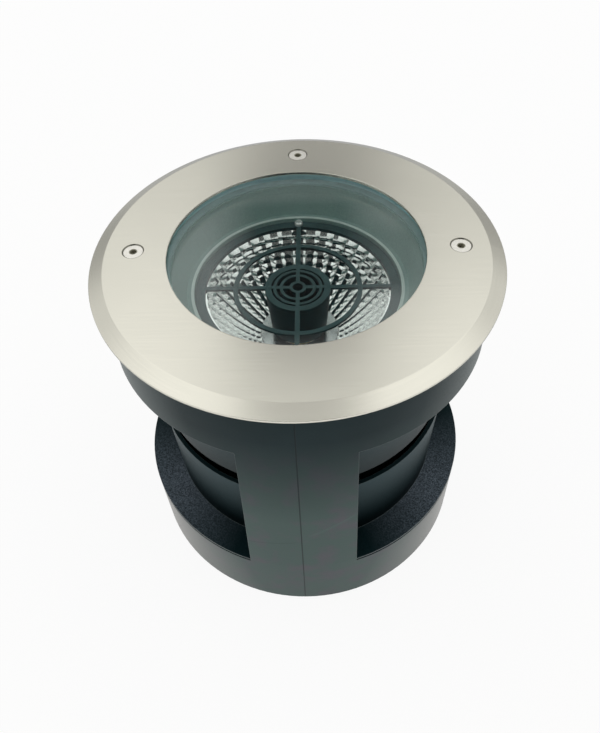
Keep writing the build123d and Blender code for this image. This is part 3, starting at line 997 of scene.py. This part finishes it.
def join_rings(
    form: bmesh.types.BMesh, rings: Sequence[Sequence[bmesh.types.BMVert]]
) -> List[bmesh.types.BMFace]:
    """Join rings of points with a wall of four-sided faces.

    Args:
        form: Mesh that holds the points.
        rings: Rings with the same number of points, in order.

    Returns:
        The faces.
    """
    faces = []
    for first, second in zip(rings, rings[1:]):
        for i in range(len(first)):
            j = (i + 1) % len(first)
            faces.append(form.faces.new((first[i], first[j], second[j], second[i])))
    return faces


@dataclass
class Sleeve:
    """Buried sleeve with its collar, posts, shelf and cup."""

    body: Body = Body.SLEEVE
    plastic: SleevePlastic = SleevePlastic(
        name="sleeve_plastic",
        colour=(0.003, 0.011, 0.013),
        tone=(0.010, 0.021, 0.024),
        grain=Mottle(0.0006, 2.0),
        edge=0.0005,
        shine=0.10,
        shine_tint=(0.55, 0.92, 1.0),
        scuffs=(
            Scuff((-0.032, 0.0665), (-0.001, 0.0735), 0.0003, 0.6),
            Scuff((0.003, 0.079), (0.030, 0.097), 0.0008, 1.25),
        ),
    )

    def build(self) -> None:
        """Dress the sleeve."""
        dress(self.plastic, "mounting_sleeve")


@dataclass
class Cover:
    """Steel trim ring and its screws."""

    body: Body = Body.COVER
    steel: BrushedSteel = BrushedSteel(
        name="trim_steel",
        colour=(0.78, 0.76, 0.675),
        dull=(0.71, 0.695, 0.615),
        roughness=0.22,
        anisotropy=0.6,
    )
    screw: SocketScrewSteel = SocketScrewSteel(
        name="trim_screw_steel",
        colour=(0.94, 0.92, 0.86),
        dull=(0.85, 0.83, 0.77),
        roughness=0.35,
    )

    def build(self) -> None:
        """Dress the ring and its screws."""
        dress(self.steel, "trim_ring")
        dress(self.screw, "trim_screws")


@dataclass
class Lens:
    """Thick glass with polished faces and a ground edge, in its rubber channel."""

    body: Body = Body.LAMP
    radius: float = 0.0666
    foot: float = 0.17895
    top: float = 0.1889
    arris: float = 0.0008
    segments: int = 192
    glass: TintedGlass = TintedGlass("lens_glass", (0.93, 0.975, 0.96), 1.5, 0.01)
    ground: GroundEdge = GroundEdge("ground_edge", (0.52, 0.82, 0.86), (0.46, 0.74, 0.78))
    gasket: SoftRubber = SoftRubber("gasket_rubber", (0.42, 0.59, 0.585), (0.50, 0.68, 0.68))

    def build(self) -> None:
        """Make the glass, dress it and hang it in the lamp, and dress the gasket."""
        inner = self.radius - self.arris
        profile = (
            (inner, self.foot),
            (self.radius, self.foot + self.arris),
            (self.radius, self.top - self.arris),
            (inner, self.top),
        )
        form = bmesh.new()
        loops = [hoop(radius, height, self.segments) for radius, height in profile]
        rings = [[form.verts.new(point) for point in loop] for loop in loops]
        form.faces.new(list(reversed(rings[0])))
        form.faces.new(rings[-1])
        for face in join_rings(form, rings):
            face.material_index = 1
        disc = place(form, "lens_disc", self.glass, self.ground)
        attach(disc, self.body.value)
        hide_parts("cover_glass")
        log.info("%s with a ground edge", disc.name)
        dress(self.gasket, "glass_gasket")


@dataclass
class Reflector:
    """Bowl of curved mirror facets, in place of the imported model's bowl of flat ones."""

    body: Body = Body.LAMP
    rim_radius: float = 0.0466
    neck_radius: float = 0.0210
    foot_height: float = 0.1289
    depth: float = 0.0306
    flange_radius: float = 0.0523
    flange_depth: float = 0.0012
    skin: float = 0.0003
    columns: int = 36
    rows: int = 9
    steps: int = 8
    # Turn of the first column's edge from the right, as a share of a column
    shift: float = 0.5
    # Depth of a facet's hollow and height of its crown, as shares of its width and its length
    hollow: float = 0.12
    crown: float = 0.05
    mirror: MirrorFinish = MirrorFinish(
        name="reflector_mirror",
        colour=(0.97, 0.97, 0.96),
        dull=(0.92, 0.93, 0.92),
        roughness=0.09,
        roughness_swing=0.08,
        dimples=Mottle(0.0010, 2.0, 0.35, 0.7),
        depth=0.00003,
    )

    def build(self) -> None:
        """Make the bowl, dress it and hang it in the lamp."""
        form = bmesh.new()
        for column in range(self.columns):
            for row in range(self.rows):
                self.lay_facet(form, column + self.shift, row)
        self.lay_back(form)
        bowl = place(form, "mirror_bowl", self.mirror)
        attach(bowl, self.body.value)
        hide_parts("reflector")
        log.info("%s with %d facets", bowl.name, self.columns * self.rows)

    def corner(self, column: float, row: float, out: float = 0.0) -> Vector:
        """Give a corner of the facets.

        Args:
            column: Number of the column, from the right.
            row: Number of the row, from the neck.
            out: Distance outside the mirror.

        Returns:
            The corner's place.
        """
        radius = self.neck_radius + (self.rim_radius - self.neck_radius) * row / self.rows
        span = self.rim_radius**2 - self.neck_radius**2
        height = self.foot_height + self.depth * (radius**2 - self.neck_radius**2) / span
        angle = 2 * math.pi * column / self.columns
        return Vector(((radius + out) * math.cos(angle), (radius + out) * math.sin(angle), height))

    def lay_facet(self, form: bmesh.types.BMesh, column: float, row: int) -> None:
        """Lay one facet, hollow across its column and crowned along it.

        Args:
            form: Mesh to add it to.
            column: Number of its first edge.
            row: Number of its lower edge.
        """
        low = (self.corner(column, row), self.corner(column + 1, row))
        high = (self.corner(column, row + 1), self.corner(column + 1, row + 1))
        rise = self.crown * (high[0] - low[0]).length
        shares = [step / self.steps for step in range(self.steps + 1)]
        grid = []
        for v in shares:
            left = low[0].lerp(high[0], v)
            right = low[1].lerp(high[1], v)
            dip = self.hollow * (right - left).length
            for u in shares:
                point = left.lerp(right, u)
                outward = Vector((point.x, point.y, 0.0)).normalized()
                arch = dip * bow(u) - rise * bow(v)
                grid.append(form.verts.new(point + outward * arch))
        stride = len(shares)
        for j in range(self.steps):
            for i in range(self.steps):
                first = j * stride + i
                corners = (first, first + stride, first + stride + 1, first + 1)
                face = form.faces.new([grid[k] for k in corners])
                face.smooth = True

    def lay_back(self, form: bmesh.types.BMesh) -> None:
        """Close the bowl with its outer wall and its flange.

        Args:
            form: Mesh to add them to.
        """
        top = self.foot_height + self.depth
        loops = [self.border(0)]
        loops += [self.border(row, self.clear(row)) for row in range(self.rows)]
        for height in (top - self.flange_depth, top):
            loops.append(hoop(self.flange_radius, height, self.columns, self.shift))
        loops.append(self.border(self.rows))
        join_rings(form, [[form.verts.new(point) for point in loop] for loop in loops])

    def clear(self, row: int) -> float:
        """Give the distance from a row's corners to the outer wall, behind the hollows."""
        first, second = self.border(row)[:2]
        return self.hollow * (second - first).length + self.skin

    def border(self, row: int, out: float = 0.0) -> List[Vector]:
        """Give the corners along a row's border, at a distance outside the mirror."""
        return [self.corner(column + self.shift, row, out) for column in range(self.columns)]


@dataclass
class Optics:
    """Glare shield, light source and the small screws of the lamp."""

    body: Body = Body.LAMP
    shield: MouldedPlastic = MouldedPlastic(
        name="shield_plastic",
        colour=(0.008, 0.032, 0.038),
        tone=(0.012, 0.038, 0.044),
        shine=0.12,
        shine_tint=(0.55, 0.92, 1.0),
        upward_tone=(0.09, 0.15, 0.153),
        upward_share=0.8,
    )
    holder: PlainMetal = PlainMetal("holder_plating", (0.96, 0.98, 0.98), (0.93, 0.95, 0.95), 0.2)
    gel: MouldedPlastic = MouldedPlastic(
        "emitter_phosphor", (0.9, 0.8, 0.45), (0.85, 0.74, 0.4), Gloss.SMOOTH
    )
    pad: SoftRubber = SoftRubber("pad_silicone", (0.48, 0.50, 0.54), (0.58, 0.6, 0.63))
    board: PlainMetal = PlainMetal("board_metal", (0.85, 0.85, 0.83), (0.72, 0.72, 0.7), 0.35)
    screw: PlainMetal = PlainMetal(
        "small_screw_steel", (0.98, 0.98, 0.97), (0.92, 0.92, 0.91), 0.2, metal=0.5
    )

    def build(self) -> None:
        """Dress what lights or shapes the beam, and the small screws."""
        dress(self.shield, "glare_shield")
        dress(self.holder, "led_holder")
        dress(self.gel, "led_emitter")
        dress(self.pad, "thermal_pad")
        dress(self.board, "led_board")
        dress(self.screw, "shield_screws", "holder_screws", "driver_screws", "rear_screws")


@dataclass
class Lamp:
    """Cast lamp body with its rear cover, power supply and wiring."""

    body: Body = Body.LAMP
    coat: LampCoat = LampCoat(
        name="housing_coat",
        colour=(0.029, 0.050, 0.056),
        speck=(0.038, 0.060, 0.066),
        chamber=(0.36, 0.505, 0.475),
        machined_highlight=(0.86, 0.98, 0.93),
    )
    case: MouldedPlastic = MouldedPlastic("driver_case", (0.72, 0.72, 0.69), (0.64, 0.64, 0.62))
    wire: MouldedPlastic = MouldedPlastic(
        "lead_insulation", (0.5, 0.05, 0.045), (0.42, 0.04, 0.04), Gloss.SMOOTH
    )
    terminal: MouldedPlastic = MouldedPlastic(
        "terminal_plastic", (0.78, 0.77, 0.7), (0.7, 0.69, 0.62)
    )
    seal: SoftRubber = SoftRubber("seal_rubber", (0.03, 0.03, 0.032), (0.06, 0.06, 0.062))

    def build(self) -> None:
        """Dress the casting and what it holds."""
        dress(self.coat, "lamp_housing", "rear_cover")
        dress(self.case, "led_driver")
        dress(self.wire, "led_leads", "supply_leads")
        dress(self.terminal, "terminal_block")
        dress(self.seal, "rear_gasket", "gland_washer", "gland_bush")


@dataclass
class Gland:
    """Cable gland under the lamp."""

    body: Body = Body.LAMP
    nylon: MouldedPlastic = MouldedPlastic(
        "gland_plastic", (0.04, 0.04, 0.042), (0.05, 0.05, 0.052)
    )

    def build(self) -> None:
        """Dress the gland."""
        dress(self.nylon, "gland_body", "gland_locknut", "gland_nut")


@dataclass(frozen=True)
class Shade:
    """Dim part of the sky: bearing from the back and half width in degrees, heights as sines."""

    bearing: float
    half: float
    heights: Stretch
    # Share of the light that it leaves
    left: float
    soft: float = 6.0
    soft_rise: float = 0.05

    def cast(self, board: NodeBoard, x: Socket, y: Socket, z: Socket) -> Socket:
        """Work out the share of light that the shade leaves.

        Args:
            board: Node tree of the world.
            x: Direction to the right.
            y: Direction to the back.
            z: Direction up.

        Returns:
            Socket of the share.
        """
        sine = math.sin(math.radians(self.bearing))
        cosine = math.cos(math.radians(self.bearing))
        side = board.minus(board.times(x, cosine), board.times(y, sine))
        ahead = board.plus(board.times(x, sine), board.times(y, cosine))
        turn = board.math("ARCTAN2", side, ahead)
        low, high = self.heights
        across = board.band(turn, 0.0, math.radians(self.half), math.radians(self.soft))
        upward = board.band(z, (low + high) / 2, (high - low) / 2, self.soft_rise)
        return board.span(board.times(across, upward), 0.0, 1.0, 1.0, self.left)


@dataclass(frozen=True)
class Sky:
    """Soft surroundings, bright at both sides, dim in parts behind, before and above the lamp."""

    name: str = "studio_sky"
    tint: Colour = (1.0, 1.0, 0.985)
    # Strength low and high in the sky, and the heights as sines between which it changes
    wall: Stretch = (0.86, 1.17)
    wall_heights: Stretch = (0.5, 0.75)
    shades: Tuple[Shade, ...] = (
        Shade(bearing=1.0, half=4.0, heights=(-0.1, 0.55), left=0.70, soft=5.0),
        Shade(bearing=0.0, half=60.0, heights=(0.48, 0.585), left=0.86, soft=20.0, soft_rise=0.06),
        Shade(bearing=3.0, half=62.0, heights=(-0.4, 0.2), left=0.55, soft=15.0, soft_rise=0.14),
        Shade(bearing=-2.0, half=4.5, heights=(0.60, 0.735), left=0.05, soft=5.5, soft_rise=0.03),
        Shade(bearing=7.0, half=2.5, heights=(0.63, 0.68), left=0.45, soft=5.0, soft_rise=0.02),
        Shade(bearing=17.0, half=6.0, heights=(0.56, 0.66), left=0.86, soft_rise=0.04),
        Shade(bearing=-2.0, half=10.0, heights=(0.76, 0.83), left=0.70, soft=8.0, soft_rise=0.03),
        Shade(bearing=180.0, half=34.0, heights=(0.405, 0.86), left=0.08, soft=3.0, soft_rise=0.01),
        Shade(bearing=0.0, half=180.0, heights=(0.955, 1.1), left=0.45, soft_rise=0.03),
    )

    def make(self) -> bpy.types.World:
        """Build the sky.

        Returns:
            Its world.
        """
        world = bpy.data.worlds.new(self.name)
        world.use_nodes = True
        board = NodeBoard(world.node_tree)
        x, y, z = board.parts(board.add("ShaderNodeTexCoord").outputs["Generated"])
        strength = board.span(z, *self.wall_heights, *self.wall)
        for shade in self.shades:
            strength = board.times(strength, shade.cast(board, x, y, z))
        background = world.node_tree.nodes["Background"]
        board.feed(background.inputs["Strength"], strength)
        board.feed(background.inputs["Color"], self.tint)
        return world


@dataclass
class Studio:
    """Pale floor, soft light and the camera of the photograph."""

    floor_size: float = 12.0
    floor_segments: int = 96
    paper: FloorPaper = FloorPaper("floor_paper", (1.0, 1.0, 1.0), 0.9)
    sky: Sky = Sky()
    camera_place: Point = (0.01111, -0.25443, 0.40693)
    camera_turn: Tuple[float, float, float, float] = (0.94009, 0.340521, 0.01656, -0.00134)
    lens_mm: float = 33.492
    sensor_mm: float = 36.0
    nearest: float = 0.01

    def build(self) -> None:
        """Lay the floor, set the sky and place the camera."""
        self.lay_floor()
        bpy.context.scene.world = self.sky.make()
        self.place_camera()
        bpy.context.scene.view_settings.view_transform = "Standard"

    def lay_floor(self) -> None:
        """Make the floor a wide disc under the sleeve."""
        form = bmesh.new()
        radius = self.floor_size / 2
        bmesh.ops.create_circle(form, cap_ends=True, radius=radius, segments=self.floor_segments)
        place(form, "floor", self.paper)

    def place_camera(self) -> None:
        """Put the camera where the photograph was taken from."""
        data = bpy.data.cameras.new("photo_camera")
        data.lens = self.lens_mm
        data.sensor_width = self.sensor_mm
        data.clip_start = self.nearest
        camera = bpy.data.objects.new("photo_camera", data)
        camera.location = self.camera_place
        camera.rotation_mode = "QUATERNION"
        camera.rotation_quaternion = Quaternion(self.camera_turn)
        bpy.context.scene.collection.objects.link(camera)
        bpy.context.scene.camera = camera


def main() -> None:
    """Build the sub-assemblies in order, then the studio."""
    logging.basicConfig(level=logging.INFO, format="%(message)s")
    for assembly in (Sleeve(), Lamp(), Gland(), Reflector(), Optics(), Lens(), Cover()):
        assembly.build()
        log.info("%s done, on the %s body", type(assembly).__name__, assembly.body.value)
    Studio().build()
    log.info("Studio done")


if __name__ == "__main__":
    main()
